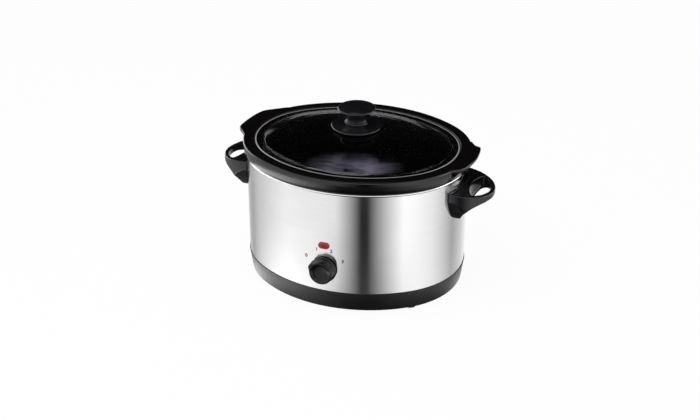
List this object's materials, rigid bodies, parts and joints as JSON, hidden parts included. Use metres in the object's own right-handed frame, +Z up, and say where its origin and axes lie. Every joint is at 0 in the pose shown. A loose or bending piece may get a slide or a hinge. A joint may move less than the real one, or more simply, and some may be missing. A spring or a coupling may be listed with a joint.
{
  "type": "slow cooker",
  "caption": "Oval countertop slow cooker: steel-walled housing with heating well, lift-out stoneware pot, domed glass lid and a turning dial.",
  "frame": {"origin": "centre of the footprint of the whole cooker, on the worktop under its feet", "axes": "+X to the right end seen from the front, +Y to the back, +Z up"},
  "size_m": [0.42, 0.303, 0.2705],
  "materials": {
    "base_plastic": "smooth black moulded plastic",
    "zinc_plate": "galvanised sheet steel",
    "foot_rubber": "black rubber",
    "zinc_hardware": "zinc-plated steel",
    "steel_wall": "brushed stainless steel, grain round the wall",
    "well_metal": "aluminised sheet steel",
    "heater_mica": "mica and glass cloth heater band",
    "glass_wool": "white glass wool",
    "porcelain": "unglazed white ceramic",
    "handle_plastic": "black phenolic, half gloss",
    "switch_plastic": "dark grey phenolic",
    "cam_nylon": "natural nylon",
    "brass_tabs": "plain brass",
    "dial_plastic": "gloss black moulded plastic",
    "lamp_red": "clear red plastic",
    "lamp_glass": "neon lamp glass",
    "gland_rubber": "black rubber",
    "block_plastic": "cream moulded plastic",
    "lead_insulation": "silicone insulation",
    "pot_glaze": "gloss black glaze",
    "lid_glass": "clear tempered glass",
    "seal_silicone": "dark silicone",
    "knob_plastic": "black phenolic, half gloss"
  },
  "bodies": {
    "housing": {"base_ring": "base_plastic", "bottom_plate": "zinc_plate", "feet": "foot_rubber", "base_screws": "zinc_hardware", "stud_nut": "zinc_hardware", "outer_wrap": "steel_wall", "heating_well": "well_metal", "well_stud": "zinc_hardware", "stud_spacers": "zinc_hardware", "heat_shield": "well_metal", "heater_band": "heater_mica", "band_springs": "zinc_hardware", "heater_terminals": "porcelain", "insulation_wrap": "glass_wool", "thermal_fuse": "porcelain", "fuse_clip": "zinc_hardware", "left_handle": "handle_plastic", "right_handle": "handle_plastic", "handle_plates": "zinc_hardware", "handle_screws": "zinc_hardware", "rotary_switch": "switch_plastic", "switch_tabs": "brass_tabs", "switch_screws": "zinc_hardware", "indicator_lens": "lamp_red", "lamp_clip": "zinc_hardware", "neon_lamp": "lamp_glass", "cord_gland": "gland_rubber", "terminal_block": "block_plastic", "wiring": "lead_insulation"},
    "dial": {"control_knob": "dial_plastic", "switch_shaft": "zinc_hardware", "switch_cam": "cam_nylon"},
    "pot": {"stoneware_pot": "pot_glaze"},
    "lid": {"lid_glass": "lid_glass", "knob_gasket": "seal_silicone", "knob_skirt": "knob_plastic", "lid_knob": "knob_plastic", "knob_washer": "zinc_hardware", "knob_screw": "zinc_hardware"}
  },
  "joints": [
    {"name": "pot_lift", "type": "slide", "parent": "housing", "child": "pot", "axis": [0, 0, 1], "range_m": [0, 0.17]},
    {"name": "lid_lift", "type": "slide", "parent": "pot", "child": "lid", "axis": [0, 0, 1], "range_m": [0, 0.1]},
    {"name": "dial_turn", "type": "hinge", "parent": "housing", "child": "dial", "pos_m": [0, -0.1365, 0.071], "axis": [0, 1, 0], "range_deg": [0, 120]}
  ]
}
